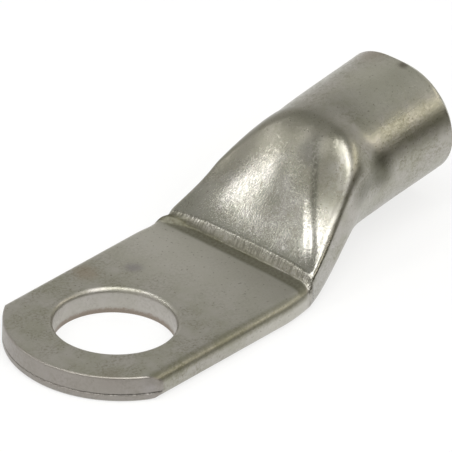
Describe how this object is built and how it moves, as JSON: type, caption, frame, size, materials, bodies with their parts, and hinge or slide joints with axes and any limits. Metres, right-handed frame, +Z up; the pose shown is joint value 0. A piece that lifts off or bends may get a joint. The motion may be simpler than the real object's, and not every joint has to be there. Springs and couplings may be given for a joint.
{
  "type": "tubular cable lug",
  "caption": "Tinned tubular cable lug: a round barrel for the conductor, a pressed neck, and a flat palm with a stud hole and an arc-cut tip.",
  "frame": {"origin": "centre of the stud hole on the underside of the palm", "axes": "+X from the stud hole along the palm towards the barrel, +Z up out of the palm's upper face, +Y across the palm"},
  "size_m": [0.0287, 0.011, 0.0085],
  "materials": {
    "tinned_copper": "satin tin plate over copper"
  },
  "bodies": {
    "root": {"lug": "tinned_copper"}
  },
  "joints": []
}
